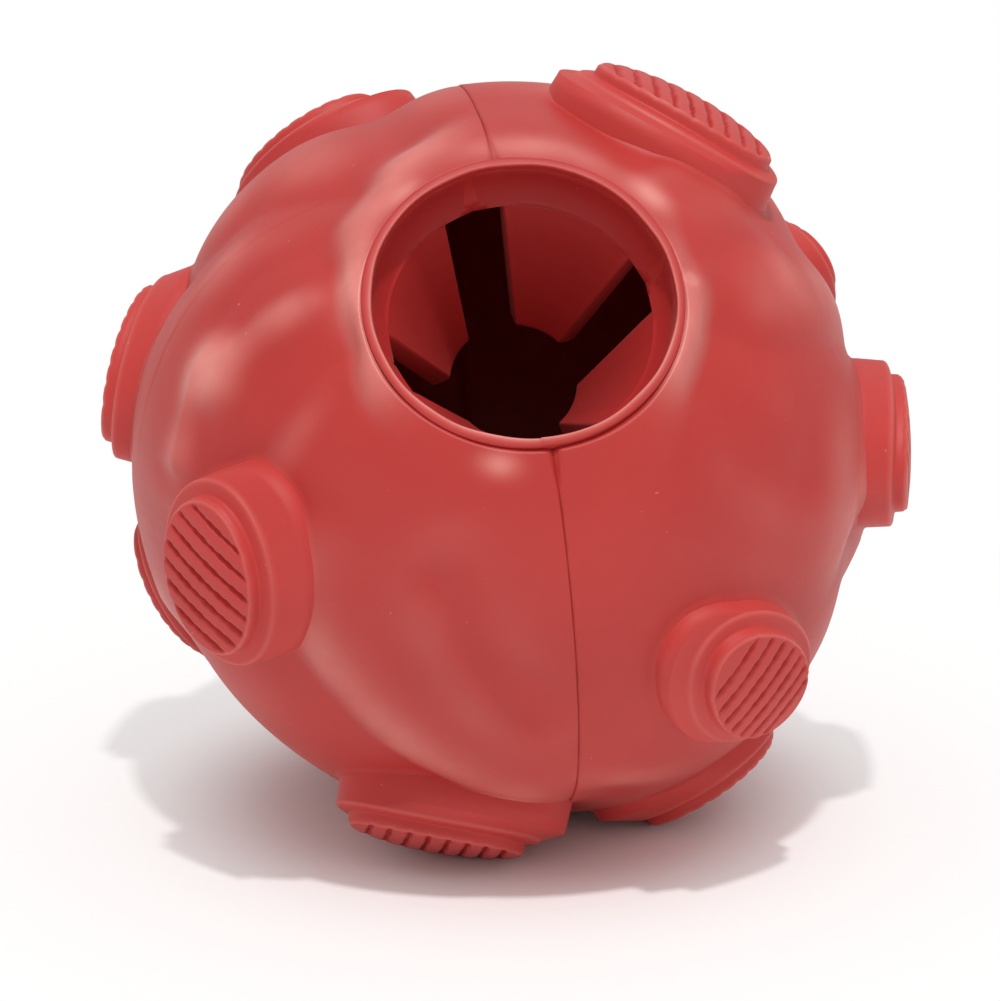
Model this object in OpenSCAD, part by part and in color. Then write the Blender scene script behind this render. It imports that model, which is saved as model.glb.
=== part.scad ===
// Treat dispensing ball: two bonded rubber half shells, a mouth sleeve with
// four flaps that yield, and oval ribbed studs. Millimetres, standing on z = 0.

/* [Ball] */
// Radius of the shell over its lobes
ball_r = 38; // [30:0.5:60]
// Thickness of the shell
wall_t = 5.6; // [4.8:0.1:6.4]

/* [Mouth] */
// Radius of the round mouth
mouth_r = 13.8; // [11:0.1:15]
// Width of the lip around the mouth
lip_w = 1.4; // [1:0.1:2]
// Radius of the hole that the four flaps leave
hole_r = 5.9; // [4.5:0.1:7]
// Thickness of a flap
flap_t = 2; // [1.4:0.1:2.4]

/* [Studs] */
// Length of a stud across its oval foot
stud_len = 22.8; // [20:0.1:24]
// Width of a stud across its oval foot
stud_wid = 16.8; // [15:0.1:18]
// Height of a stud's ledge over the lobes
ledge_h = 2.1; // [1.6:0.1:2.6]
// Height of the ribbed pad over the ledge
pad_h = 1.2; // [0.8:0.1:1.4]
// Ribs on a pad
rib_count = 9; // [5:1:11]

/* [Hidden] */

// How the ball lies: the mouth axis leans toward -Y and three feet touch z = 0
mouth_lean = 53;
roll_turn = 0.9;
centre_share = 0.9895;
shift_share = [-0.0007, -0.0399];
centre_h = ball_r * centre_share;
shift_x = ball_r * shift_share[0];
shift_y = ball_r * shift_share[1];

// Where the two half shells meet, turned about the mouth axis
seam_turn = 9;

// Mouth sleeve
lip_r = mouth_r + lip_w;
sleeve_r = lip_r + ball_r * 0.0085;
cavity_r = ball_r - wall_t;
rim_z = sqrt(ball_r * ball_r - mouth_r * mouth_r);
lip_rise = ball_r * 0.008;
crack_depth = ball_r * 0.03;
throat_z = rim_z - ball_r * 0.116;
relief_r = mouth_r + ball_r * 0.029;
sleeve_foot_z = rim_z - ball_r * 0.17;

// Flaps, each a slice of one funnel that turns about a chord at its root
flap_root_r = mouth_r - ball_r * 0.0237;
flap_root_z = rim_z - ball_r * 0.153;
flap_drop = ball_r * 0.335;
slot_outer = ball_r * 0.158;
slot_inner = ball_r * 0.126;
slot_turn = 20;
flap_step = 90;
flap_half = 45;
root_sides = 10;

// Studs: names, polar angle from the mouth, angle round it, and own turn
stud_places = [
    ["stud_top_right", 49, 146, 92],
    ["stud_top_left", 85, 211, 60],
    ["stud_left_upper", 90, 255, 90],
    ["stud_front_left", 61.5, 306, 35],
    ["stud_front_right", 68.5, 36.8, 17],
    ["stud_right", 81, 88, 60],
    ["stud_left_lower", 119, 282, 40],
    ["stud_back_top", 103, 172, 100],
    ["stud_back_right", 98, 128, 30],
    ["stud_back_low", 146, 150, 45],
    ["stud_back_left", 130, 236, 60],
    ["stud_under_right", 129, 84, 80],
    ["foot_front", 97, 349.3, 85],
    ["foot_right", 113, 36, 75],
    ["foot_back", 150.5, 326, 60]
];
ledge_r = ball_r + ledge_h;
pad_r = ledge_r + pad_h;
seat_r = ball_r * 0.885;
pad_len = stud_len * 0.8;
pad_wid = stud_wid * 0.72;
rib_pitch = pad_len / (rib_count + 0.6);
rib_gap = rib_pitch * 0.26;
rib_depth = pad_h * 0.6;
oval_sides = 40;
oval_power = 0.92;

// Hollows between the lobes: depth share, half width in degrees, and the
// route as pairs of polar angle and angle round the mouth
hollows = [
    [0.045, 8, [[26, 272], [38, 283], [50, 293]]],
    [0.040, 8, [[24, 241], [38, 241], [51, 246], [64, 246]]],
    [0.045, 9, [[33, 218], [52, 209], [74, 207]]],
    [0.040, 8, [[64, 316], [76, 332], [88, 350]]],
    [0.030, 8, [[28, 84], [41, 86], [54, 92], [66, 100]]],
    [0.035, 8, [[24, 113], [41, 115], [56, 123]]],
    [0.020, 9, [[32, 59], [54, 63]]],
    [0.030, 9, [[60, 174], [80, 180]]],
    [0.012, 4, [[42, 345], [51, 352], [61, 0], [67, 6]]],
    [0.040, 9, [[95, 228], [112, 212], [128, 205]]],
    [0.040, 9, [[118, 112], [112, 100], [98, 108]]],
    [0.035, 9, [[128, 352], [127, 12], [131, 30]]],
    [0.035, 9, [[88, 20], [98, 8], [110, 356]]],
    [0.040, 9, [[84, 62], [92, 56], [98, 62]]],
    [0.040, 9, [[100, 300], [100, 318], [116, 328]]],
    [0.040, 9, [[150, 205], [160, 240], [158, 80]]]
];
// Steps of the shell's surface grid, in degrees
grid_turn = 6;
grid_drop = 5;
grid_start = 15;
grid_end = 175;

FINE = 96;
big = ball_r * 4;
eps = ball_r * 0.001;

// Unit vector of a place given by its polar angle and its angle round the mouth
function place(p, a) = [sin(p) * cos(a), sin(p) * sin(a), cos(p)];
// Angle in degrees between a unit vector and the arc from u to v
function arc_gap(d, u, v) =
    let (
        w = v - u,
        t = max(0, min(1, ((d - u) * w) / (w * w))),
        c = u + t * w
    )
    acos(min(1, (d * c) / norm(c)));
function route_gap(d, r) =
    min([for (i = [0:len(r) - 2]) arc_gap(d, place(r[i][0], r[i][1]), place(r[i + 1][0], r[i + 1][1]))]);
function hollow_depth(d, h) = let (x = route_gap(d, h[2]) / h[1]) x > 3 ? 0 : h[0] * exp(-x * x);
function add(v, i = 0) = i < len(v) ? v[i] + add(v, i + 1) : 0;
// Radius of the lobed surface in a direction
function skin_r(d) = ball_r * (1 - min(0.055, add([for (h = hollows) hollow_depth(d, h)])));

// Turns the ball from its mouth axis along +Z to the way it lies
module lie() {
    translate([shift_x, shift_y, centre_h])
        rotate([mouth_lean, 0, 0])
            rotate([0, 0, -90 - roll_turn])
                children();
}

// Stands children at a place of the ball, their +Z outward
module at_place(p, a, t) {
    rotate([0, 0, a]) rotate([0, p, 0]) rotate([0, 0, t]) children();
}

// The whole lobed ball as one closed surface of rings
module lobed_ball() {
    turns = 360 / grid_turn;
    drops = (grid_end - grid_start) / grid_drop;
    rings = [for (i = [0:drops]) for (j = [0:turns - 1])
        let (d = place(grid_start + i * grid_drop, j * grid_turn)) skin_r(d) * d];
    top = len(rings);
    bottom = top + 1;
    ends = [[0, 0, skin_r([0, 0, 1])], [0, 0, -skin_r([0, 0, -1])]];
    last = drops * turns;
    sides = [for (i = [0:drops - 1]) for (j = [0:turns - 1])
        let (k = (j + 1) % turns, a = i * turns, b = (i + 1) * turns)
        each [[a + j, a + k, b + j], [a + k, b + k, b + j]]];
    caps = [for (j = [0:turns - 1])
        let (k = (j + 1) % turns)
        each [[top, k, j], [bottom, last + j, last + k]]];
    polyhedron(concat(rings, ends), concat(sides, caps), convexity = 6);
}

// Flat oval outline, a little fuller than an ellipse
module oval(len, wid) {
    polygon([for (i = [0:oval_sides - 1])
        let (
            a = i * 360 / oval_sides,
            x = cos(a),
            y = sin(a)
        )
        [len / 2 * sign(x) * pow(abs(x), oval_power), wid / 2 * sign(y) * pow(abs(y), oval_power)]]);
}

module stud_seat(p, a, t) {
    at_place(p, a, t)
        translate([0, 0, seat_r])
            linear_extrude(ledge_h + ball_r)
                oval(stud_len, stud_wid);
}

// Grooves between the ribs, across the pad's short way
module rib_gaps() {
    for (i = [0:rib_count - 2])
        translate([(i - (rib_count - 2) / 2) * rib_pitch - rib_gap / 2, -stud_wid, 0])
            cube([rib_gap, 2 * stud_wid, big]);
}

module stud(p, a, t) {
    intersection() {
        stud_seat(p, a, t);
        sphere(ledge_r, $fn = FINE);
    }
    intersection() {
        at_place(p, a, t) translate([0, 0, seat_r]) linear_extrude(ball_r) oval(pad_len, pad_wid);
        sphere(pad_r - rib_depth, $fn = FINE);
    }
    intersection() {
        at_place(p, a, t)
            difference() {
                translate([0, 0, seat_r]) linear_extrude(ball_r) oval(pad_len, pad_wid);
                rib_gaps();
            }
        sphere(pad_r, $fn = FINE);
    }
}

module stud_named(name) {
    for (s = stud_places)
        if (s[0] == name)
            lie() stud(s[1], s[2], s[3]);
}

// A stud that the ball stands on, flattened where it meets z = 0
module foot_named(name) {
    intersection() {
        stud_named(name);
        translate([-big / 2, -big / 2, 0]) cube(big);
    }
}

module half_space(side) {
    rotate([0, 0, seam_turn])
        translate([-big / 2, side > 0 ? 0 : -big, -big / 2])
            cube([big, big, big]);
}

module half_shell(side) {
    lie() difference() {
        intersection() {
            lobed_ball();
            half_space(side);
        }
        sphere(cavity_r, $fn = FINE);
        cylinder(h = big, r = sleeve_r, $fn = FINE);
        for (s = stud_places)
            stud_seat(s[1], s[2], s[3]);
    }
}

module left_shell() {
    color("firebrick") half_shell(-1);
}

module right_shell() {
    color("indianred") half_shell(1);
}

// Lip and throat of the mouth, bonded into the half shells
module mouth_sleeve() {
    color("lightcoral") lie() rotate_extrude($fn = FINE)
        polygon([
            [mouth_r, throat_z],
            [mouth_r, rim_z],
            [mouth_r + lip_w * 0.3, rim_z + lip_rise],
            [lip_r - lip_w * 0.2, rim_z + lip_rise - lip_w * 0.3],
            [lip_r, rim_z - lip_w * 0.45],
            [lip_r, rim_z - lip_w * 0.45 - crack_depth],
            [sleeve_r, rim_z - lip_w * 0.45 - crack_depth - (sleeve_r - lip_r)],
            [sleeve_r, sleeve_foot_z],
            [relief_r, sleeve_foot_z],
            [relief_r, throat_z]
        ]);
}

// One slice of the funnel, centred on turn a
module flap(a) {
    root = [flap_root_r, flap_root_z];
    tip = [hole_r + flap_t * 0.45, flap_root_z - flap_drop];
    along = (tip - root) / norm(tip - root);
    side = [-along[1], along[0]];
    round_root = [for (i = [0:root_sides])
        let (b = 180 * i / root_sides)
        root + (side * cos(b) - along * sin(b)) * flap_t / 2];
    lie() intersection() {
        rotate_extrude($fn = FINE)
            polygon(concat(round_root, [tip - side * flap_t / 2, tip + side * flap_t / 2]));
        rotate([0, 0, a]) translate([0, 0, flap_root_z - flap_drop - ball_r * 0.1])
            linear_extrude(flap_drop + ball_r * 0.3)
                difference() {
                    rotate(-flap_half) square(big);
                    for (m = [-1, 1])
                        rotate(m * flap_half)
                            polygon([
                                [-hole_r, -slot_inner / 2],
                                [hole_r, -slot_inner / 2],
                                [mouth_r, -slot_outer / 2],
                                [big, -slot_outer / 2],
                                [big, slot_outer / 2],
                                [mouth_r, slot_outer / 2],
                                [hole_r, slot_inner / 2],
                                [-hole_r, slot_inner / 2]
                            ]);
                }
    }
}

module flap_number(i) {
    color("brown") flap(slot_turn + flap_half + i * flap_step);
}

module pad_stud(name) {
    color("crimson") stud_named(name);
}

module pad_foot(name) {
    color("crimson") foot_named(name);
}

left_shell();
right_shell();
mouth_sleeve();
flap_number(0);  // flap_front_right
flap_number(1);  // flap_back_right
flap_number(2);  // flap_back_left
flap_number(3);  // flap_front_left
pad_stud("stud_top_right");  // stud_top_right
pad_stud("stud_top_left");  // stud_top_left
pad_stud("stud_left_upper");  // stud_left_upper
pad_stud("stud_front_left");  // stud_front_left
pad_stud("stud_front_right");  // stud_front_right
pad_stud("stud_right");  // stud_right
pad_stud("stud_left_lower");  // stud_left_lower
pad_stud("stud_back_top");  // stud_back_top
pad_stud("stud_back_right");  // stud_back_right
pad_stud("stud_back_low");  // stud_back_low
pad_stud("stud_back_left");  // stud_back_left
pad_stud("stud_under_right");  // stud_under_right
pad_foot("foot_front");  // foot_front
pad_foot("foot_right");  // foot_right
pad_foot("foot_back");  // foot_back
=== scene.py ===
import math

import bpy
import numpy as np
from mathutils import Matrix, Vector


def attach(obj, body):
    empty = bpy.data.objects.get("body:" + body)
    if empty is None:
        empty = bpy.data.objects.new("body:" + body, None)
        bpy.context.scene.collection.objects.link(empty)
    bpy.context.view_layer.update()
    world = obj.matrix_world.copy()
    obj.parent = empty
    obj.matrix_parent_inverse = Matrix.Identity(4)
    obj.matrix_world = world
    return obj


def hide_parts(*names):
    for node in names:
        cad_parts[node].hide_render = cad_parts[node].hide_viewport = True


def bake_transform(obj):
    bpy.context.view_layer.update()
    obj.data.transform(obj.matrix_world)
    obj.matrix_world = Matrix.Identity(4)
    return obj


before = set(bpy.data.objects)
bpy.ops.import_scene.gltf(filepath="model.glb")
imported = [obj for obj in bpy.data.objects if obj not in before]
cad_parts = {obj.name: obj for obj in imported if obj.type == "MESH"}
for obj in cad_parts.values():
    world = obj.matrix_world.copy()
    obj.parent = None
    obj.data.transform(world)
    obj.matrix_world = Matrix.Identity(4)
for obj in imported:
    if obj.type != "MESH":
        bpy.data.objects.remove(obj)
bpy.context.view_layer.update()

MM = 0.001

# Sizes in millimetres and degrees. The lip and the studs are a little smaller
# here than their solids in part.scad
ball_r = 38.0
wall_t = 5.6
mouth_r = 13.8
lip_w = 0.9
hole_r = 5.9
flap_t = 2.0
stud_len = 20.6
stud_wid = 14.4
ledge_w = 1.5
ledge_h = 2.1
pad_h = 1.2
ramp_reach = 1.5
rib_count = 9
mouth_lean = 53.0
roll_turn = 0.9
seam_turn = 9.0
slot_turn = 20.0
slot_outer = ball_r * 0.158
slot_inner = ball_r * 0.126
centre = np.array([-0.0007, -0.0399, 0.9895]) * ball_r

rim_z = math.sqrt(ball_r ** 2 - mouth_r ** 2)
lip_r = mouth_r + lip_w
cavity_r = ball_r - wall_t
ledge_r = ball_r + ledge_h
pad_r = ledge_r + pad_h
rib_pitch = (stud_len - 2 * ledge_w) / (rib_count + 0.3)
sleeve_foot_z = rim_z - ball_r * 0.17
sleeve_r = lip_r + ball_r * 0.0085
flap_root_r = mouth_r - ball_r * 0.0237
flap_root_z = rim_z - ball_r * 0.153
flap_drop = ball_r * 0.335
stud_foot_r = ball_r * 0.87

# Studs: polar angle from the mouth, angle round it, own turn, shares of the
# common length and width, and the turn of the ribs
STUDS = {
    "stud_top_right": (49, 146, 92, 1.09, 0.97, 19),
    "stud_top_left": (85, 211, 60, 1, 1, 0),
    "stud_left_upper": (90, 255, 90, 1, 1, 0),
    "stud_front_left": (61.5, 306, 35, 0.9, 1.05, -24),
    "stud_front_right": (68.5, 36.8, 17, 0.96, 0.94, 15),
    "stud_right": (81, 88, 60, 1, 1, 0),
    "stud_left_lower": (119, 282, 40, 1, 1, 0),
    "stud_back_top": (103, 172, 100, 1, 1, 8),
    "stud_back_right": (98, 128, 30, 1, 1, -10),
    "stud_back_low": (146, 150, 45, 1, 1, 0),
    "stud_back_left": (130, 236, 60, 1, 1, 10),
    "stud_under_right": (129, 84, 80, 1, 1, -8),
    "foot_front": (97, 349.3, 85, 1, 1, 0),
    "foot_right": (113, 36, 75, 1, 1, 0),
    "foot_back": (150.5, 326, 60, 1, 1, 0),
}

# Hollows and crests of the skin: depth share (a crest's is negative), width
# in degrees on the left and on the right of the route, how many degrees it
# takes to fade in and out, sharpness, and the route in polar angle and turn
RELIEF = [
    # the front lobe's edge, from the mouth to stud_front_left and below it
    (0.064, 4.5, 10, 4, 14, 1.2, [(23, 285), (28, 285), (34, 287), (40, 290), (46, 294), (53, 299),
                                  (60, 305)]),
    (0.058, 4.0, 14, 10, 16, 1.2, [(54, 307), (60, 312), (67, 320.5), (73, 330), (79, 338), (84, 347),
                                   (91, 356), (100, 366), (112, 376)]),
    # crest with a dip on each side, left of that edge
    (-0.022, 4, 6, 6, 8, 1.5, [(27, 262), (33, 264.5), (38, 267), (43, 270.5), (48, 276), (54, 284)]),
    (0.026, 4, 5, 5, 9, 1.6, [(24, 253), (30, 256.5), (36, 260.5), (42, 265), (49, 272)]),
    (0.016, 4, 5, 7, 9, 1.6, [(28, 246), (36, 250), (43, 255), (49, 263), (54, 271)]),
    # thin crest that ends at stud_front_left
    (-0.014, 1.8, 3.0, 5, 3, 1.2, [(46, 267), (51, 272), (55, 277), (59, 281.5), (64, 287)]),
    # between the left lobe and the top left lobe, and on to the back
    (0.055, 8, 6, 8, 16, 1.3, [(27, 226), (34, 230), (40, 233.5), (47, 236), (55, 238), (63, 243), (74, 246),
                               (90, 250), (108, 260), (125, 280)]),
    # between the top left lobe and the top lobe, and on to the back
    (0.048, 8, 7, 8, 16, 1.5, [(30, 208), (40, 209), (50, 207.5), (62, 204), (76, 203), (92, 206), (108, 215),
                               (125, 235)]),
    # over stud_right, and on to the back
    (0.050, 7, 10, 5, 16, 1.2, [(24, 87), (28, 85.5), (33, 84.6), (38, 85.3), (45, 88.5), (54, 93),
                                (66, 99.5), (78, 103), (92, 107), (106, 113), (120, 124)]),
    # to the lower end of stud_top_right, and on to the back
    (0.024, 6, 5, 4, 8, 1.4, [(23, 108), (28, 108.5), (33, 110), (41, 115), (50, 119)]),
    (0.036, 7, 7, 8, 14, 1.8, [(42, 116), (50, 119), (60, 119.5), (74, 120), (88, 124), (102, 134),
                                 (118, 150)]),
    # between the right lobe and the front right lobe
    (0.026, 10, 5, 6, 12, 1.5, [(23, 67), (29, 64.5), (36, 63), (43, 63), (54, 66), (62, 68)]),
    (0.038, 8, 8, 8, 14, 1.6, [(68, 70), (78, 68), (88, 67), (98, 66), (112, 68), (128, 78)]),
    # shallow double crease in the front lobe
    (0.013, 4.5, 1.8, 6, 7, 1.5, [(38, 337), (42, 341), (46, 345), (52, 349), (57, 353.5), (62, 359),
                                   (68, 6)]),
    (0.004, 1.5, 1.5, 2, 2, 1.6, [(42, 337.5), (45, 339.5), (48, 341.5)]),
    # behind the front lobe's shoulder
    (0.018, 8, 4, 5, 8, 1.8, [(25, 296), (30, 299), (36, 302), (43, 306), (50, 312)]),
    # beside stud_top_right, toward the mouth
    (0.026, 5, 6, 5, 6, 1.6, [(48, 166), (41, 162), (35, 155), (32, 145), (31, 136)]),
    # over the top lobe
    (0.022, 8, 8, 8, 14, 1.8, [(54, 175), (64, 177), (78, 181), (92, 188), (108, 192)]),
    # underneath and on the back
    (0.038, 9, 9, 8, 8, 1.8, [(128, 345), (127, 356), (127, 8), (131, 24)]),
    (0.030, 8, 8, 8, 10, 1.7, [(84, 19), (92, 13), (102, 6), (112, 356)]),
    (0.036, 8, 9, 9, 9, 1.6, [(92, 294), (100, 306), (108, 320), (118, 332)]),
    (0.042, 8, 9, 10, 10, 1.4, [(140, 196), (150, 208), (158, 236), (156, 290)]),
    (0.040, 8, 9, 10, 10, 1.4, [(134, 108), (146, 100), (158, 84), (164, 40)]),
    (0.034, 8, 9, 10, 10, 1.5, [(104, 56), (118, 60), (132, 54), (146, 40)]),
]
# The deepest that the skin goes, as a share of the ball's radius
MOST_SHARE = 0.072
# How far the sharp line of a route is rounded, as a share of its width
route_round = 0.07

# Where the rubber is paler and shinier by the mouth, partly a pale film on it and partly painted highlight:
# polar angle, turn, half width across and along the rim in degrees, strength
PALE_SPOTS = [
    (25.8, 178, 2.6, 24, 0.5),
    (26.0, 133, 2.4, 7, 0.9),
    (24.4, 99, 1.3, 2.5, 0.8),
    (25.4, 266, 2.6, 12, 0.4),
    (25.2, 351, 1.6, 6, 0.7),
    (24.0, 224, 1.4, 7, 0.6),
]

LIE = np.array(Matrix.Rotation(math.radians(mouth_lean), 3, "X")
               @ Matrix.Rotation(math.radians(-90 - roll_turn), 3, "Z"))


def lie(points):
    """Ball coordinates, mouth along +Z, to the row's, still in millimetres."""
    return np.asarray(points) @ LIE.T + centre


def place(polar, turn):
    """Direction from the ball's middle of a polar angle and a turn, in degrees."""
    p = np.radians(polar)
    a = np.radians(turn)
    return np.stack([np.sin(p) * np.cos(a), np.sin(p) * np.sin(a), np.cos(p) + 0 * a], -1)


def ease(x):
    """Smooth rise from nought at x = 0 to one at x = 1."""
    x = np.clip(x, 0, 1)
    return x * x * (3 - 2 * x)


def stud_axes(name):
    """Outward, long and wide directions of a stud."""
    polar, turn, own = STUDS[name][:3]
    p, a, s = (math.radians(v) for v in (polar, turn, own))
    out = place(polar, turn)
    away = np.array([math.cos(p) * math.cos(a), math.cos(p) * math.sin(a), -math.sin(p)])
    around = np.array([-math.sin(a), math.cos(a), 0.0])
    return out, math.cos(s) * away + math.sin(s) * around, -math.sin(s) * away + math.cos(s) * around


def smooth_route(route, steps=7):
    """A rounded line through the route's places on the unit sphere."""
    pts = place(np.array([q[0] for q in route], float), np.array([q[1] for q in route], float))
    pts = np.vstack([2 * pts[0] - pts[1], pts, 2 * pts[-1] - pts[-2]])
    out = []
    for i in range(1, len(pts) - 2):
        p0, p1, p2, p3 = pts[i - 1:i + 3]
        for t in np.linspace(0, 1, steps, endpoint=False):
            out.append(0.5 * (2 * p1 + (p2 - p0) * t + (2 * p0 - 5 * p1 + 4 * p2 - p3) * t ** 2
                              + (3 * p1 - p0 - 3 * p2 + p3) * t ** 3))
    out.append(pts[-2])
    out = np.array(out)
    return out / np.linalg.norm(out, axis=1)[:, None]


def route_place(d, line):
    """Degrees from each direction to the line, positive on its left, and how far along it that is."""
    best = np.full(len(d), 1e9)
    side = np.zeros(len(d))
    along = np.zeros(len(d))
    start = 0.0
    for u, v in zip(line[:-1], line[1:]):
        w = v - u
        length = math.sqrt(w @ w)
        normal = np.cross(u, v)
        t = np.clip((d - u) @ w / length ** 2, 0, 1)
        gap = d - (u + t[:, None] * w)
        gap = np.sqrt((gap * gap).sum(1))
        near = gap < best
        best = np.where(near, gap, best)
        side = np.where(near, np.sign(d @ normal), side)
        along = np.where(near, start + t * length, along)
        start += length
    return np.degrees(best) * side, np.degrees(along), math.degrees(start)


ROUTES = [(row[:6], smooth_route(row[6])) for row in RELIEF]


def skin_share(d):
    """How far the skin lies under the ball's radius, as a share of it."""
    total = np.zeros(len(d))
    for (depth, left, right, fade_in, fade_out, power), line in ROUTES:
        reach = 2.4 * max(left, right) + 6
        close = (d @ line[::3].T).max(1) > math.cos(math.radians(reach))
        if not close.any():
            continue
        gap, along, whole = route_place(d[close], line)
        x = np.abs(gap) / np.where(gap > 0, left, right)
        x = np.sqrt(x * x + route_round ** 2) - route_round
        fade = ease(along / fade_in) * ease((whole - along) / fade_out)
        total[close] += depth * fade * np.exp(-x ** power)
    return MOST_SHARE * np.tanh(total / MOST_SHARE)


# Square to the seam, and how far the way the mould opens leans from that
SEAM_OUT = np.array([-math.sin(math.radians(seam_turn)), math.cos(math.radians(seam_turn)), 0.0])
PULL_DROP = np.array([0.0, 0.0, -0.45])

# Walls of the studs where they lean: least slope, and shares of the ledge's height
# that lengthen and that end the run
least_slope = 0.1
ramp_gain = 1.1
ramp_end = 1.25
# Fillet round the studs: rise, reach, share of the wall's run at which it starts
fillet_rise = 0.35
fillet_reach = 0.8
fillet_start = 0.92
stud_side = ball_r * 0.86


def oval_reach(ang, a, b, shift=(0.0, 0.0)):
    """Distance to an oval moved by shift, in each direction, or nought where it misses."""
    ux, uy = np.cos(ang), np.sin(ang)
    sx, sy = shift
    qa = (ux / a) ** 2 + (uy / b) ** 2
    qb = -2 * (ux * sx / a ** 2 + uy * sy / b ** 2)
    qc = (sx / a) ** 2 + (sy / b) ** 2 - 1
    disc = qb * qb - 4 * qa * qc
    return np.where(disc > 0, (-qb + np.sqrt(np.maximum(disc, 0))) / (2 * qa), 0.0)


def stud_ramp(name):
    """Slope of the stud's wall toward the seam and the mouth, its way and how far it runs.

    The wall there leans back along the way the mould opens, or it would lock."""
    out, long_, wide = stud_axes(name)
    pull = SEAM_OUT * (1 if out @ SEAM_OUT > 0 else -1) + PULL_DROP
    pull /= np.linalg.norm(pull)
    flat = np.array([pull @ long_, pull @ wide])
    across = np.linalg.norm(flat)
    slope = max(least_slope, (out @ pull) / across)
    run = ramp_reach + ramp_gain * ledge_h * slope
    return slope, -flat / across, min(run, ramp_end * ledge_h / slope)


def swept_reach(ang, a, b, way, run):
    """Outline of an oval swept along way by run, as distance from its middle, and the shift used."""
    best = oval_reach(ang, a, b)
    used = np.zeros_like(best)
    for s in np.linspace(0, run, 25)[1:]:
        reach = oval_reach(ang, a, b, way * s)
        more = reach > best
        best = np.where(more, reach, best)
        used = np.where(more, s, used)
    return best, used


def stud_size(name):
    return stud_len * STUDS[name][3], stud_wid * STUDS[name][4]


def stud_fillet(points):
    """Rise of the skin where it meets the studs' walls."""
    rise = np.zeros(len(points))
    for name in STUDS:
        out, long_, wide = stud_axes(name)
        size = stud_size(name)
        close = points @ out > stud_side
        x = points[close] @ long_
        y = points[close] @ wide
        slope, way, run = stud_ramp(name)
        edge, _ = swept_reach(np.arctan2(y, x), size[0] / 2, size[1] / 2, way, run * fillet_start)
        gap = np.sqrt(x * x + y * y) - edge
        rise[close] = np.maximum(rise[close], fillet_rise * np.clip(1 - gap / fillet_reach, 0, 1) ** 2)
    return rise


def blur(grid, rows, cols):
    """Box blur of a grid, with its edge values carried on."""
    for axis, size in ((0, rows), (1, cols)):
        pad = [(0, 0), (0, 0)]
        pad[axis] = (size + 1, size)
        total = np.cumsum(np.pad(grid, pad, mode="edge"), axis=axis)
        n = grid.shape[axis]
        upper = np.take(total, np.arange(2 * size + 1, 2 * size + 1 + n), axis=axis)
        lower = np.take(total, np.arange(0, n), axis=axis)
        grid = (upper - lower) / (2 * size + 1)
    return grid


def mesh_piece(name, points, faces, body, material, paleness):
    """A smooth piece that rides a body, or none, and how pale each of its points is, painted highlight
    included.
    """
    mesh = bpy.data.meshes.new(name)
    mesh.from_pydata((np.asarray(points) * MM).tolist(), [], faces)
    # paleness of each point: painted highlight on the skin's crests, pale film and painted highlight by the
    # mouth, pale edges
    layer = mesh.attributes.new("paleness", "FLOAT", "POINT")
    layer.data.foreach_set("value", np.asarray(paleness, np.float32))
    mesh.validate()
    mesh.update()
    mesh.polygons.foreach_set("use_smooth", [True] * len(mesh.polygons))
    obj = bpy.data.objects.new(name, mesh)
    bpy.context.scene.collection.objects.link(obj)
    mesh.materials.append(material)
    if body:
        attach(obj, body)
    return obj


def grid_faces(rows, cols, wrap=False, flip=False, start=0):
    """Faces of a grid of points, row by row, that closes round its columns with wrap."""
    last = cols if wrap else cols - 1
    i, j = np.meshgrid(np.arange(rows - 1), np.arange(last), indexing="ij")
    i, j = i.ravel(), j.ravel()
    k = (j + 1) % cols
    quad = [i * cols + j, i * cols + k, (i + 1) * cols + k, (i + 1) * cols + j]
    faces = start + np.stack(quad[::-1] if flip else quad, 1)
    return faces.tolist()


# Materials
def srgb(r, g, b):
    def linear(v):
        v /= 255
        return v / 12.92 if v <= 0.04045 else ((v + 0.055) / 1.055) ** 2.4
    return (linear(r), linear(g), linear(b), 1.0)


def noise(nodes, links, coord, scale, detail, low, high, dark, light):
    """A noise texture through a two-stop ramp."""
    tex = nodes.new("ShaderNodeTexNoise")
    tex.inputs["Scale"].default_value = scale
    tex.inputs["Detail"].default_value = detail
    ramp = nodes.new("ShaderNodeValToRGB")
    ramp.color_ramp.elements[0].position = low
    ramp.color_ramp.elements[0].color = dark
    ramp.color_ramp.elements[1].position = high
    ramp.color_ramp.elements[1].color = light
    links.new(coord.outputs["Object"], tex.inputs["Vector"])
    links.new(tex.outputs["Fac"], ramp.inputs["Fac"])
    return ramp.outputs["Color"]


def blend_colour(nodes, links, factor, under, over):
    """The colour under, turned to the plain colour over by factor."""
    mix = nodes.new("ShaderNodeMix")
    mix.data_type = "RGBA"
    mix.inputs["B"].default_value = over
    links.new(factor, mix.inputs["Factor"])
    links.new(under, mix.inputs["A"])
    return mix.outputs["Result"]


def times(nodes, links, a, b):
    node = nodes.new("ShaderNodeMath")
    node.operation = "MULTIPLY"
    node.use_clamp = True
    links.new(a, node.inputs[0])
    links.new(b, node.inputs[1])
    return node.outputs["Value"]


def bump(nodes, links, coord, scale, detail, strength, height):
    """Bumps from a noise texture."""
    tex = nodes.new("ShaderNodeTexNoise")
    tex.inputs["Scale"].default_value = scale
    tex.inputs["Detail"].default_value = detail
    node = nodes.new("ShaderNodeBump")
    node.inputs["Strength"].default_value = strength
    node.inputs["Distance"].default_value = height
    links.new(coord.outputs["Object"], tex.inputs["Vector"])
    links.new(tex.outputs["Fac"], node.inputs["Height"])
    return node


# Noise of the rubber, in repeats per metre, and heights of its bumps in metres
cloud_scale = 40
smear_scale = 170
speck_scale = 1400
worn_scale = 60
grain_scale = 1500
grain_height = 0.00008
wave_scale = 210
wave_height = 0.00022
# Roughness: less and more than the given one where it is worn, and where it is pale, on pale film and painted
# highlight alike
smoother = 0.05
rougher = 0.06
pale_rough = 0.36


def grey(value):
    return (value, value, value, 1.0)


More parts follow.
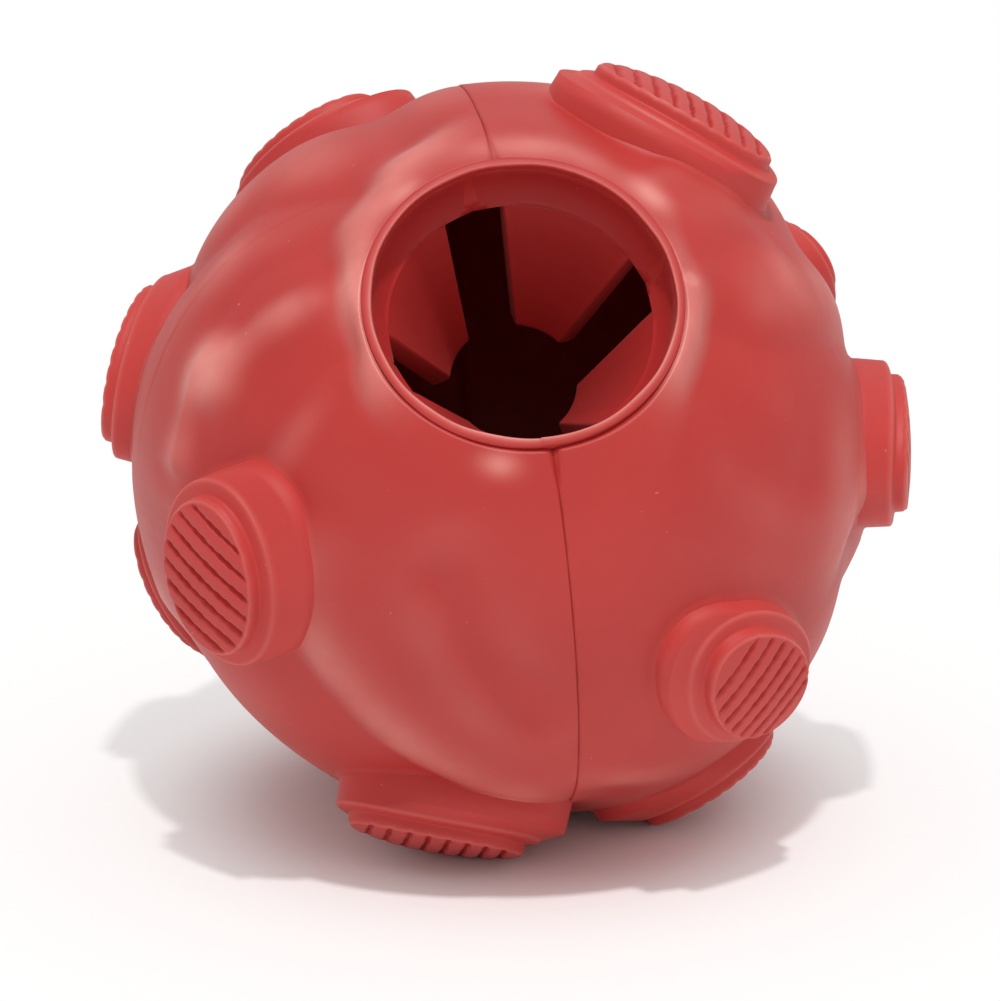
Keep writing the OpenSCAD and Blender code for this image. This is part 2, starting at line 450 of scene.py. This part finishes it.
def rubber(name, base, dark, pale, rough):
    """Moulded rubber: clouded red, paler and smoother where its points are pale (painted highlight on the
    skin's crests), with fine grain and specks.
    """
    mat = bpy.data.materials.new(name)
    mat.use_nodes = True
    nodes = mat.node_tree.nodes
    links = mat.node_tree.links
    shader = nodes["Principled BSDF"]
    shader.inputs["Specular IOR Level"].default_value = 0.5
    shader.inputs["Sheen Weight"].default_value = 0.06
    shader.inputs["Sheen Roughness"].default_value = 0.45
    shader.inputs["Sheen Tint"].default_value = (1.0, 0.82, 0.76, 1.0)
    coord = nodes.new("ShaderNodeTexCoord")
    colour = noise(nodes, links, coord, cloud_scale, 6, 0.32, 0.68, dark, base)
    # pale film and painted highlight, read from each point
    paleness = nodes.new("ShaderNodeAttribute")
    paleness.attribute_name = "paleness"
    smear = noise(nodes, links, coord, smear_scale, 5, 0.25, 0.75, grey(0.5), grey(1.0))
    pale_mask = times(nodes, links, paleness.outputs["Fac"], smear)
    colour = blend_colour(nodes, links, pale_mask, colour, pale)
    specks = noise(nodes, links, coord, speck_scale, 1, 0.80, 0.83, grey(0.0), grey(0.45))
    colour = blend_colour(nodes, links, specks, colour, pale)
    links.new(colour, shader.inputs["Base Color"])
    worn = noise(nodes, links, coord, worn_scale, 4, 0.3, 0.7, grey(rough - smoother), grey(rough + rougher))
    links.new(blend_colour(nodes, links, pale_mask, worn, grey(pale_rough)), shader.inputs["Roughness"])
    fine = bump(nodes, links, coord, grain_scale, 4, 0.22, grain_height)
    coarse = bump(nodes, links, coord, wave_scale, 3, 0.25, wave_height)
    links.new(coarse.outputs["Normal"], fine.inputs["Normal"])
    links.new(fine.outputs["Normal"], shader.inputs["Normal"])
    return mat


PALE = srgb(232, 148, 138)
SKIN = rubber("skin_rubber", srgb(186, 44, 38), srgb(174, 37, 33), PALE, 0.5)
PAD = rubber("stud_rubber", srgb(197, 54, 48), srgb(185, 45, 41), PALE, 0.56)
LIP = rubber("lip_rubber", srgb(188, 44, 39), srgb(176, 36, 33), srgb(228, 146, 134), 0.5)
FLAP = rubber("flap_rubber", srgb(180, 32, 29), srgb(164, 26, 25), srgb(206, 84, 76), 0.6)


# Stretches of the crack round the lip: middle and half width in degrees, how open
CRACKS = [(38, 34, 1.0), (300, 32, 0.55), (352, 22, 0.45), (88, 18, 0.3)]
least_crack = 0.03


def degrees_off(turn, middle):
    """How far turn is from middle, from -180 to 180 degrees."""
    return (turn - middle + 180) % 360 - 180


def crack_share(turn):
    """How open the crack round the lip is: wide at the lower right, closed at the top."""
    total = least_crack
    for middle, width, strength in CRACKS:
        total = total + strength * np.exp(-(degrees_off(turn, middle) / width) ** 2)
    return np.minimum(total, 1)


# Grid of the skin: turns from the seam and drops from the mouth, close together
# first and then skin_step apart, down to just short of the pole
SEAM_TURNS = [0, 0.1, 0.2, 0.32, 0.48, 0.7, 1.0, 1.4, 1.9, 2.4]
MOUTH_DROPS = [0, 0.08, 0.17, 0.28, 0.42, 0.6, 0.85]
first_turn = 2.9
last_turn = 177.2
first_drop = 1.2
last_drop = 179.6
skin_step = 0.5
pole = 179.97
# Seam groove: depth and width, what each gains by the mouth, over how many degrees
# the gain fades, and the small step from one half to the other
seam_depth = 0.14
seam_depth_gain = 0.38
seam_width = 0.10
seam_width_gain = 0.28
seam_gain_reach = 5.0
seam_step = 0.05
seam_step_width = 0.7
# Rolled edge at the crack round the lip: depth, and width in degrees
edge_depth = 0.02
edge_depth_gain = 0.45
edge_width = 0.10
edge_width_gain = 0.28
# Gaps to the lip, of the skin and of the cavity's wall
skin_gap = 0.06
cavity_gap = 0.4
# Painted highlight on the crests: rows and columns that the skin is smoothed over to find them,
# the height that takes the whole highlight, how much that is, and its own smoothing
crest_blur = 14
crest_height = 0.45
crest_highlight = 0.95
highlight_blur = 6
most_paleness = 0.9
# Least height of the skin over the floor
floor_gap = 0.1


def skin_half(start_turn, side):
    """Grid of points of one half's skin, and how pale each is, with painted highlight on its crests; side is
    1 or -1.
    """
    even = list(np.arange(first_turn, last_turn, skin_step))
    turns = np.array(SEAM_TURNS + even + [180 - v for v in SEAM_TURNS[::-1]])
    rim = math.degrees(math.asin((lip_r + skin_gap) / ball_r))
    even = np.arange(rim + first_drop, last_drop, skin_step)
    drops = np.concatenate([rim + np.array(MOUTH_DROPS), even, [pole]])
    pol, tur = np.meshgrid(drops, turns + start_turn, indexing="ij")
    d = place(pol.ravel(), tur.ravel())
    r = ball_r * (1 - skin_share(d))
    fillet = stud_fillet(d * r[:, None]).reshape(pol.shape)
    r = r.reshape(pol.shape)
    # how far each point stands over its smoothed surroundings, for the painted highlight on the crests
    crest = r - blur(r, crest_blur, crest_blur)
    r += fillet
    # the line where the halves meet: fine, uneven, wider by the mouth
    off_seam = ball_r * np.sin(np.radians(pol)) * np.sin(np.radians(tur - start_turn))
    uneven = 1 + 0.35 * np.sin(pol * 0.9 + 1) * np.sin(pol * 0.37)
    fresh = np.exp(-((pol - rim) / seam_gain_reach) ** 2)
    width = seam_width + seam_width_gain * fresh
    r -= (seam_depth + seam_depth_gain * fresh) * uneven * np.exp(-(off_seam / width) ** 2)
    r += side * seam_step * np.exp(-(off_seam / seam_step_width) ** 2)
    crack = crack_share(tur)
    width = edge_width + edge_width_gain * crack
    r -= (edge_depth + edge_depth_gain * crack) * np.exp(-((pol - rim) / width) ** 2)
    # painted highlight on the crests, then the pale spots by the mouth
    paleness = blur(ease((crest + 0.02) / crest_height) * crest_highlight, highlight_blur, highlight_blur)
    for polar, turn, across, along, strength in PALE_SPOTS:
        paleness += strength * np.exp(-((pol - polar) / across) ** 2 - (degrees_off(tur, turn) / along) ** 2)
    return (d * r.ravel()[:, None]).reshape(pol.shape + (3,)), np.clip(paleness, 0, most_paleness)


def cavity_half(start_turn):
    """Grid of points of one half's cavity wall."""
    rim = math.degrees(math.asin((lip_r + cavity_gap) / cavity_r))
    pol, tur = np.meshgrid(np.linspace(rim, pole, 60), np.linspace(0, 180, 61) + start_turn, indexing="ij")
    return place(pol, tur) * cavity_r


# Half shells: skin, seam walls, cavity and mouth wall as one closed surface
def half_shell(name, start_turn, node, side):
    skin, paleness = skin_half(start_turn, side)
    inner = cavity_half(start_turn)
    rows, cols = paleness.shape
    irows, icols = inner.shape[:2]
    base = rows * cols
    faces = grid_faces(rows, cols)
    faces += grid_faces(irows, icols, flip=True, start=base)

    def inner_row(i):
        return base + round(i * (irows - 1) / (rows - 1)) * icols

    def inner_col(j):
        return base + round(j * (icols - 1) / (cols - 1))

    # seam walls and mouth wall between skin and cavity
    for col, icol, flip in ((0, 0, True), (cols - 1, icols - 1, False)):
        for i in range(rows - 1):
            a = i * cols + col
            b = a + cols
            ia = inner_row(i) + icol
            ib = inner_row(i + 1) + icol
            f = (a, b, ib, ia) if ia != ib else (a, b, ia)
            faces.append(f[::-1] if flip else f)
    for j in range(cols - 1):
        ia = inner_col(j)
        ib = inner_col(j + 1)
        faces.append((j + 1, j, ia, ib) if ia != ib else (j + 1, j, ia))
    row_points = lie(np.vstack([skin.reshape(-1, 3), inner.reshape(-1, 3)]))
    row_points[:, 2] = np.maximum(row_points[:, 2], floor_gap)
    paleness = np.concatenate([paleness.ravel(), np.zeros(irows * icols)])
    obj = mesh_piece(name, row_points, faces, "ball", SKIN, paleness)
    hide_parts(node)


half_shell("right_skin", seam_turn, "right_shell", 1)
half_shell("left_skin", seam_turn + 180, "left_shell", -1)


# Grooves between a pad's ribs: depth, half width and squareness, the plain rim that
# they stop short of, and how far they fade in. Then the ribs' rounding and the pad's
groove_depth = 0.52
groove_half_w = 0.21
groove_power = 2.6
groove_margin = 0.35
groove_fade = 0.5
rib_round = 0.10
rib_round_w = 0.35
pad_round = 0.30
stud_around = 320
ledge_edge = 0.28


def dome(x, y, radius):
    """Height of a sphere's surface over the ball's middle, at x and y from the stud's axis."""
    return np.sqrt(radius ** 2 - x * x - y * y)


def pad_ring(ang, pad_reach, s, rib_turn, ribs):
    """One ring of a pad's top, at the share s of its reach: fine grooves between flat ribs."""
    x = pad_reach * s * np.cos(ang)
    y = pad_reach * s * np.sin(ang)
    u = x * math.cos(rib_turn) + y * math.sin(rib_turn)
    v = y * math.cos(rib_turn) - x * math.sin(rib_turn)
    phase = (u / rib_pitch + (0.5 if ribs % 2 else 0.0)) % 1.0
    off = (0.5 - np.abs(phase - 0.5)) * rib_pitch
    waver = 0.06 * np.sin(1.7 * v + 2.1 * np.round(u / rib_pitch)) + 0.05 * np.sin(5.1 * v)
    ribbed = np.abs(u) < rib_pitch * (ribs / 2 - 0.45)
    inside = ease(((1 - s) * pad_reach - groove_margin) / groove_fade) * ribbed
    groove = groove_depth * np.exp(-(np.abs(off + waver) / groove_half_w) ** groove_power) * inside
    rounding = rib_round * np.exp(-(off / rib_round_w) ** 2) * ribbed
    edge = pad_round * ease((s - 0.95) / 0.05) ** 2
    return np.stack([x, y, dome(x, y, pad_r) - groove - rounding - edge], 1)


# Studs: one height map on an oval polar grid, ribs across the short way
def stud_piece(name):
    out, long_, wide = stud_axes(name)
    size_l, size_w = stud_size(name)
    pad_len = size_l - 2 * ledge_w
    pad_wid = size_w - 2 * ledge_w
    rib_turn = math.radians(STUDS[name][5])
    ribs = math.floor(pad_len / rib_pitch)
    slope, way, run = stud_ramp(name)
    ang = np.linspace(0, 2 * np.pi, stud_around, endpoint=False)
    rows = []
    paleness = []

    def add(reach, height, pale=0.0):
        rows.append(np.stack([reach * np.cos(ang), reach * np.sin(ang), height], 1))
        paleness.append(np.full(stud_around, pale))

    pad_reach = oval_reach(ang, pad_len / 2, pad_wid / 2)
    for s in np.concatenate([np.linspace(0.015, 0.88, 74), np.linspace(0.895, 1, 12)]):
        rows.append(pad_ring(ang, pad_reach, s, rib_turn, ribs))
        paleness.append(np.full(stud_around, 0.25 * np.exp(-((s - 0.972) / 0.016) ** 2)))
    # pad wall and its foot
    for grow, fall in ((0.03, 0.55), (0.05, 0.86), (0.09, 0.97), (0.24, 1.02)):
        reach = pad_reach + grow
        add(reach, dome(reach * np.cos(ang), reach * np.sin(ang), pad_r) - fall * pad_h)
    # ledge with its rounded edge
    stud_reach = oval_reach(ang, size_l / 2, size_w / 2)
    for inset, fall, pale in ((0.55, 0.0, 0.0), (0.32, 0.02, 0.05), (0.16, 0.06, 0.15), (0.05, 0.15, 0.2),
                              (0.0, ledge_edge, 0.1)):
        reach = stud_reach - inset
        add(reach, dome(reach * np.cos(ang), reach * np.sin(ang), ledge_r) - fall, pale)
    # wall: upright away from the seam, leaning out toward it
    for share in np.linspace(0, 1, 9)[1:]:
        reach, used = swept_reach(ang, size_l / 2, size_w / 2, way, run * share)
        x = reach * np.cos(ang) - way[0] * used
        y = reach * np.sin(ang) - way[1] * used
        fall = slope * run * share
        add(reach + 0.02 * fall, dome(x, y, ledge_r) - ledge_edge - fall)
    for grow, fall in ((0.12, 1.3), (0.3, 3.0)):
        add(reach + grow, rows[-1][:, 2] - fall)
    add(reach + 0.2, np.full(stud_around, stud_foot_r))
    grid = np.array(rows)
    count = len(grid)
    points = grid[:, :, 0, None] * long_ + grid[:, :, 1, None] * wide + grid[:, :, 2, None] * out
    points = np.vstack([points.reshape(-1, 3), grid[0, :, 2].mean() * out, stud_foot_r * out])
    faces = grid_faces(count, stud_around, wrap=True, flip=True)
    top = count * stud_around
    for j in range(stud_around):
        k = (j + 1) % stud_around
        faces.append((top, j, k))
        faces.append((top + 1, top - stud_around + k, top - stud_around + j))
    row_points = lie(points)
    row_points[:, 2] = np.maximum(row_points[:, 2], 0)
    pale = np.concatenate([np.concatenate(paleness), [0, 0]])
    obj = mesh_piece("%s_pad" % name, row_points, faces, "ball", PAD, pale)
    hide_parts(name)


for stud_name in STUDS:
    stud_piece(stud_name)


# Inner face of the throat and the ring, from the rim down: inset from the
# mouth's radius and depth under the rim
FUNNEL = [(0.0, 0.35), (0.0, 1.0), (0.0, 1.7), (0.03, 2.2), (0.13, 2.7), (0.31, 3.2), (0.57, 3.7),
          (0.87, 4.2), (1.2, 4.65), (1.5, 5.0)]
# Top of the lip from the throat to the crack: offset from the mouth's radius, depth
# under the rim, how pale it is, and how much of the inward waver it takes
LIP_ROWS = [(0.02, 0.15, 0.2, 1), (0.08, 0.06, 0.7, 1), (0.2, 0.05, 0.62, 0.6), (0.38, 0.1, 0.3, 0.6),
            (0.54, 0.17, 0.1, 0.6), (lip_w - 0.22, 0.26, 0, 0.6), (lip_w - 0.15, 0.45, 0, 0)]
mouth_around = 480
step_turn = seam_turn - 4
step_height = 0.20
step_fade = 38
# Where the crack is closed, the lip's outer rows go out to the skin, its top sinks
# and its outermost row rises
shut_out = 0.21
shut_sink = 0.05
shut_rise = 0.10


def lip_waver(row, ang):
    """How far a row of the lip is off its circle, outward and upward. Row -1 is the throat's last."""
    turn = np.degrees(ang)
    wave = 0.05 * np.sin(3 * ang + 1.0) + 0.035 * np.sin(7 * ang + 2) + 0.02 * np.sin(17 * ang)
    off = degrees_off(turn, step_turn)
    step = step_height * (off > 0) * np.exp(-np.maximum(off, 0) / step_fade)
    inward = 0.05 * np.sin(5 * ang) + 0.03 * np.sin(13 * ang + 1)
    shut = 1 - crack_share(turn)
    share = 1 if row < 0 else LIP_ROWS[row][3]
    outward = inward * share + shut_out * shut * (row in (5, 6))
    return outward, wave + step - shut_sink * shut * (row < 4) + shut_rise * shut * (row == 6)


# Lip, throat and inner ring of the mouth
def mouth_piece():
    ang = np.linspace(0, 2 * np.pi, mouth_around, endpoint=False)
    foot = sleeve_foot_z
    profile = [(mouth_r - inset, rim_z - depth) for inset, depth in FUNNEL[-2::-1]]
    first = len(profile)
    profile += [(mouth_r + offset, rim_z - depth) for offset, depth, _, _ in LIP_ROWS]
    # down in the crack, round the sleeve's foot and up its inside to the ring
    profile += [(lip_r - 0.15, rim_z - 1.1), (lip_r, rim_z - 1.9), (sleeve_r, rim_z - 2.2)]
    profile += [(sleeve_r, foot), (sleeve_r - 0.5, foot), (sleeve_r - 0.5, rim_z - 5.1)]
    profile += [(mouth_r - 0.7, rim_z - 5.3), (mouth_r - 1.05, rim_z - 5.15), (mouth_r - 1.15, rim_z - 4.9)]
    rows = len(profile)
    points = []
    for i, (radius, z) in enumerate(profile):
        row = i - first
        outward, upward = lip_waver(row, ang) if -1 <= row < len(LIP_ROWS) else (0, 0)
        reach = radius + outward
        points.append(np.stack([reach * np.cos(ang), reach * np.sin(ang), z + upward + 0 * ang], 1))
    pale = np.zeros(rows)
    pale[first:first + len(LIP_ROWS)] = [row[2] for row in LIP_ROWS]
    bright = 0.55 + 0.4 * np.cos(ang)
    faces = grid_faces(rows, mouth_around, wrap=True, flip=True)
    last = (rows - 1) * mouth_around
    for j in range(mouth_around):
        k = (j + 1) % mouth_around
        faces.append((j, k, last + k, last + j))
    paleness = (pale[:, None] * bright[None, :]).ravel()
    obj = mesh_piece("mouth_lip", lie(np.vstack(points)), faces, "ball", LIP, paleness)
    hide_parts("mouth_sleeve")


mouth_piece()


def slot_half(radius):
    """Half width of the slots at a distance from the mouth's axis."""
    share = np.clip((radius - hole_r) / (mouth_r - hole_r), 0, 1)
    return (slot_inner + (slot_outer - slot_inner) * share) / 2


def rounded_box(count, corner_s, corner_q):
    """Outline of a box from -1 to 1 both ways with rounded corners, finer at the corners."""
    pts = []
    for sx, sy, start in ((1, 1, 0), (-1, 1, 90), (-1, -1, 180), (1, -1, 270)):
        for t in np.linspace(0, 90, 7):
            a = math.radians(start + t)
            pts.append((sx * (1 - corner_s) + corner_s * math.cos(a),
                        sy * (1 - corner_q) + corner_q * math.sin(a)))
    out = []
    for (x0, y0), (x1, y1) in zip(pts, pts[1:] + pts[:1]):
        steps = count if abs(x1 - x0) > 0.5 else 3 if abs(y1 - y0) > 0.5 else 1
        for t in np.linspace(0, 1, steps, endpoint=False):
            out.append((x0 + (x1 - x0) * t, y0 + (y1 - y0) * t))
    return np.array(out)


# How far the flap's upper face stands over the ring's inner face
flap_lift = 0.04
# Least thickness where it grows out of the wall, and the rows it takes to its full one
root_t = 0.5
root_rows = 6
# Along the flap: where the bend under the ring starts and ends
bend_from = 0.4
bend_to = 1.2
# The tip's last stretch, pinched and rounded: rows and their distances from the tip
tip_near = 0.9
TIP_ROWS = np.array([0.6, 0.35, 0.18, 0.06, 0])
pinch_share = 0.28
pinch_reach = 0.6
corner_reach = 0.5
corner_share = 0.3
# From which share of its width a flap reaches on to the next one above the slots,
# and by how much it overlaps it, in radians
outer_from = 0.88
flap_overlap = 0.002
# Pale edges of the flaps: strength, share of the width, and reach at the tip
edge_pale = 0.3
edge_share = 0.04
tip_reach = 0.5


def flap_face():
    """Upper face of a flap as radius and height, how many rows lie above the slots, and the tip."""
    root = np.array([flap_root_r, flap_root_z])
    tip = np.array([hole_r + flap_t * 0.45, flap_root_z - flap_drop])
    along = (tip - root) / np.linalg.norm(tip - root)
    side = np.array([along[1], -along[0]])
    face_tip = tip + side * flap_t / 2
    start = root + side * flap_t / 2 + along * bend_to
    # out of the throat's wall and a hair over it down to the slots, the whole
    # quarter wide, then with a second row at the slots' ends to the tip
    line = [np.array([mouth_r + 0.12, rim_z - 0.8])]
    line += [np.array([mouth_r - inset - flap_lift, rim_z - depth]) for inset, depth in FUNNEL[1:]]
    ring_rows = len(line)
    last = line[-1]
    line.append(last.copy())
    for t in np.linspace(0, 1, 7)[1:]:
        line.append((1 - t) ** 2 * last + 2 * t * (1 - t) * (last + along * bend_from) + t * t * start)
    length = np.linalg.norm(face_tip - start)
    even = np.linspace(0, 1 - tip_near / length, 28)[1:]
    for t in np.concatenate([even, 1 - TIP_ROWS / length]):
        line.append(start + (face_tip - start) * t)
    return np.array(line), ring_rows, face_tip


# Flaps: slices of one funnel that grow out of the ring and bend at their root
def flap_piece(node, number):
    middle = math.radians(slot_turn + 45 + 90 * number)
    line, ring_rows, face_tip = flap_face()
    tangent = np.gradient(line, axis=0)
    tangent /= np.linalg.norm(tangent, axis=1)[:, None]
    normal = np.stack([tangent[:, 1], -tangent[:, 0]], 1)
    thick = root_t + (flap_t - root_t) * ease(np.arange(len(line)) / (ring_rows + root_rows))
    loop = rounded_box(26, 0.05, 0.36)
    across = np.abs(loop[:, 0])
    pts = []
    paleness = []
    for i, spot in enumerate(line):
        left = np.linalg.norm(face_tip - spot)
        pinch = pinch_share * max(0.0, 1 - left / pinch_reach) ** 2
        depth = thick[i] * ((1 - loop[:, 1]) / 2 * (1 - 2 * pinch) + pinch)
        radius = spot[0] - depth * normal[i, 0]
        z = spot[1] - depth * normal[i, 1]
        open_share = 0 if i < ring_rows else 1
        spread = np.pi / 4 - np.arcsin(np.clip(slot_half(radius) / radius, 0, 0.99))
        spread = spread - max(0.0, corner_reach - left) * corner_share / radius
        # above the slots the outermost columns reach on to the next flap
        outer = np.clip((across - outer_from) / (1 - outer_from), 0, 1) * (1 - open_share)
        reach_on = np.sign(loop[:, 0]) * outer * (np.pi / 4 + flap_overlap - spread)
        a = middle + loop[:, 0] * spread + reach_on
        pts.append(np.stack([radius * np.cos(a), radius * np.sin(a), z], 1))
        edge = edge_pale * np.exp(-((1 - across) / edge_share) ** 2) * (loop[:, 1] > 0.2) * open_share
        paleness.append(edge + edge_pale * math.exp(-(left / tip_reach) ** 2))
    rows = len(pts)
    cols = len(loop)
    faces = grid_faces(rows, cols, wrap=True, flip=True)
    faces.append(tuple(range(cols)))
    faces.append(tuple((rows - 1) * cols + j for j in reversed(range(cols))))
    pale = np.concatenate(paleness)
    obj = mesh_piece("%s_funnel" % node, lie(np.vstack(pts)), faces, None, FLAP, pale)
    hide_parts(node)
    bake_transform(obj)


FLAP_NODES = ("flap_front_right", "flap_back_right", "flap_back_left", "flap_front_left")
for number, flap_node in enumerate(FLAP_NODES):
    flap_piece(flap_node, number)

# Camera, as the photograph was taken: its axes in the ball's own, and how it is aimed
VIEW_AXES = np.array([[0.0215, 0.9984, 0.0495], [-0.917, 0.0, 0.3988], [0.398, -0.054, 0.9157]])
cam_axes = VIEW_AXES @ LIE.T
view_far = 7.0 * ball_r
aim_x = -1.031
aim_y = 0.1
cam_data = bpy.data.cameras.new("view")
cam_data.sensor_width = 36.0
cam_data.lens = 93.0
cam_data.clip_start = 0.01
cam = bpy.data.objects.new("view", cam_data)
bpy.context.scene.collection.objects.link(cam)
aim = Matrix.Rotation(math.radians(aim_x), 3, "X") @ Matrix.Rotation(math.radians(aim_y), 3, "Y")
cam_turn = Matrix(cam_axes.T.tolist()) @ aim
cam_spot = Vector((centre + view_far * cam_axes[2]) * MM)
cam.matrix_world = Matrix.Translation(cam_spot) @ cam_turn.to_4x4()
bpy.context.scene.camera = cam


# Floor, in metres: half its side, and how far from the ball it turns to plain white; before that, round the
# ball, it already glows at about half strength, painted light over the ball's cast shadow
floor_side = 6.0
glow_reach = 0.12
glow_from = 0.18
GLOW_STOPS = ((0.36, 0.48), (0.6, 0.54))


# Floor that fades into a white surround, with a painted half glow over the ball's cast shadow
def white_floor():
    mesh = bpy.data.meshes.new("floor")
    side = floor_side
    corners = [(-side, -side, 0), (side, -side, 0), (side, side, 0), (-side, side, 0)]
    mesh.from_pydata(corners, [], [(0, 1, 2, 3)])
    floor = bpy.data.objects.new("floor", mesh)
    bpy.context.scene.collection.objects.link(floor)
    mat = bpy.data.materials.new("floor_white")
    mat.use_nodes = True
    mesh.materials.append(mat)
    nodes = mat.node_tree.nodes
    links = mat.node_tree.links
    plain = nodes["Principled BSDF"]
    plain.inputs["Base Color"].default_value = (0.93, 0.93, 0.92, 1)
    plain.inputs["Roughness"].default_value = 0.85
    plain.inputs["Specular IOR Level"].default_value = 0.05
    glow = nodes.new("ShaderNodeEmission")
    path = nodes.new("ShaderNodeLightPath")
    coord = nodes.new("ShaderNodeTexCoord")
    far = nodes.new("ShaderNodeVectorMath")
    far.operation = "LENGTH"
    reach = nodes.new("ShaderNodeMapRange")
    reach.inputs["From Max"].default_value = glow_reach
    ramp = nodes.new("ShaderNodeValToRGB")
    ramp.color_ramp.interpolation = "EASE"
    stops = ramp.color_ramp.elements
    stops[0].position = glow_from
    stops[1].position = 1.0
    for place_at, share in GLOW_STOPS:
        stops.new(place_at).color = (share, share, share, 1)
    both = nodes.new("ShaderNodeMath")
    both.operation = "MULTIPLY"
    mix = nodes.new("ShaderNodeMixShader")
    links.new(coord.outputs["Object"], far.inputs[0])
    links.new(far.outputs["Value"], reach.inputs["Value"])
    links.new(reach.outputs["Result"], ramp.inputs["Fac"])
    links.new(ramp.outputs["Color"], both.inputs[0])
    links.new(path.outputs["Is Camera Ray"], both.inputs[1])
    links.new(both.outputs["Value"], mix.inputs["Fac"])
    links.new(plain.outputs["BSDF"], mix.inputs[1])
    links.new(glow.outputs["Emission"], mix.inputs[2])
    links.new(mix.outputs["Shader"], nodes["Material Output"].inputs["Surface"])


white_floor()


# Strength of the light from level and from straight above
level_light = 0.47
top_light = 0.85


# Soft light from all round, and plain white where the camera sees past the floor
def studio():
    world = bpy.data.worlds.new("studio")
    bpy.context.scene.world = world
    world.use_nodes = True
    nodes = world.node_tree.nodes
    links = world.node_tree.links
    soft = nodes["Background"]
    soft.inputs["Color"].default_value = (1, 1, 1, 1)
    coord = nodes.new("ShaderNodeTexCoord")
    part = nodes.new("ShaderNodeSeparateXYZ")
    rise = nodes.new("ShaderNodeMapRange")
    rise.inputs["From Min"].default_value = 0.0
    rise.inputs["From Max"].default_value = 1.0
    rise.inputs["To Min"].default_value = level_light
    rise.inputs["To Max"].default_value = top_light
    links.new(coord.outputs["Generated"], part.inputs["Vector"])
    links.new(part.outputs["Z"], rise.inputs["Value"])
    links.new(rise.outputs["Result"], soft.inputs["Strength"])
    seen = nodes.new("ShaderNodeBackground")
    seen.inputs["Color"].default_value = (1, 1, 1, 1)
    path = nodes.new("ShaderNodeLightPath")
    mix = nodes.new("ShaderNodeMixShader")
    links.new(path.outputs["Is Camera Ray"], mix.inputs["Fac"])
    links.new(soft.outputs["Background"], mix.inputs[1])
    links.new(seen.outputs["Background"], mix.inputs[2])
    links.new(mix.outputs["Shader"], nodes["World Output"].inputs["Surface"])


studio()


def soft_lamp(name, spot, target, size, power):
    data = bpy.data.lights.new(name, "AREA")
    data.shape = "RECTANGLE"
    data.size, data.size_y = size
    data.energy = power
    lamp = bpy.data.objects.new(name, data)
    bpy.context.scene.collection.objects.link(lamp)
    lamp.location = spot
    lamp.rotation_euler = (Vector(target) - Vector(spot)).to_track_quat("-Z", "Y").to_euler()


soft_lamp("key", (0.03, -0.42, 1.08), (0, 0, 0.03), (0.05, 0.05), 6.2)

bpy.context.scene.view_settings.view_transform = "Standard"
